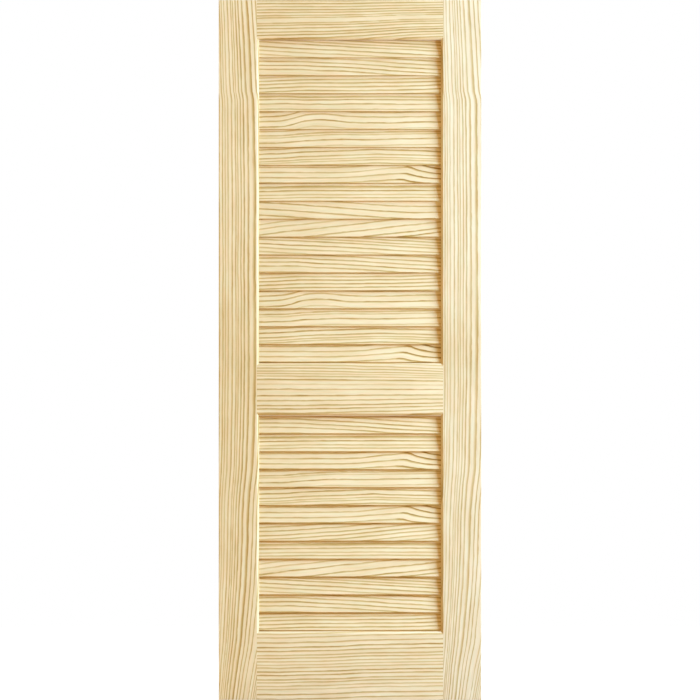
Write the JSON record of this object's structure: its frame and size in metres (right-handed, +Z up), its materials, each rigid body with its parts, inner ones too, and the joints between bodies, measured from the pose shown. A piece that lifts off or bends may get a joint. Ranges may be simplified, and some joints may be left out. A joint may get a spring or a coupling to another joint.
{
  "type": "louvred door",
  "caption": "Interior door leaf in clear pine: stiles and rails framing an upper and a lower panel of fixed, overlapping louvre slats.",
  "frame": {"origin": "middle of the bottom edge, at half the leaf's width and half its thickness", "axes": "+Z up along the stiles, +X to the right as seen from the front, +Y from the front face to the back face"},
  "size_m": [0.762, 0.035, 2.032],
  "materials": {
    "clear_pine": "unfinished, sanded smooth",
    "slat_pine": "unfinished, sanded smooth",
    "beech_dowel": "plain, fluted"
  },
  "bodies": {
    "root": {"left_stile": "clear_pine", "right_stile": "clear_pine", "top_rail": "clear_pine", "lock_rail": "clear_pine", "bottom_rail": "clear_pine", "upper_slat_01": "slat_pine", "upper_slat_02": "slat_pine", "upper_slat_03": "slat_pine", "upper_slat_04": "slat_pine", "upper_slat_05": "slat_pine", "upper_slat_06": "slat_pine", "upper_slat_07": "slat_pine", "upper_slat_08": "slat_pine", "upper_slat_09": "slat_pine", "upper_slat_10": "slat_pine", "upper_slat_11": "slat_pine", "upper_slat_12": "slat_pine", "upper_slat_13": "slat_pine", "upper_slat_14": "slat_pine", "upper_slat_15": "slat_pine", "upper_slat_16": "slat_pine", "upper_slat_17": "slat_pine", "upper_slat_18": "slat_pine", "lower_slat_01": "slat_pine", "lower_slat_02": "slat_pine", "lower_slat_03": "slat_pine", "lower_slat_04": "slat_pine", "lower_slat_05": "slat_pine", "lower_slat_06": "slat_pine", "lower_slat_07": "slat_pine", "lower_slat_08": "slat_pine", "lower_slat_09": "slat_pine", "lower_slat_10": "slat_pine", "lower_slat_11": "slat_pine", "lower_slat_12": "slat_pine", "top_rail_left_dowel_1": "beech_dowel", "top_rail_left_dowel_2": "beech_dowel", "top_rail_right_dowel_1": "beech_dowel", "top_rail_right_dowel_2": "beech_dowel", "lock_rail_left_dowel_1": "beech_dowel", "lock_rail_left_dowel_2": "beech_dowel", "lock_rail_right_dowel_1": "beech_dowel", "lock_rail_right_dowel_2": "beech_dowel", "bottom_rail_left_dowel_1": "beech_dowel", "bottom_rail_left_dowel_2": "beech_dowel", "bottom_rail_left_dowel_3": "beech_dowel", "bottom_rail_right_dowel_1": "beech_dowel", "bottom_rail_right_dowel_2": "beech_dowel", "bottom_rail_right_dowel_3": "beech_dowel"}
  },
  "joints": []
}
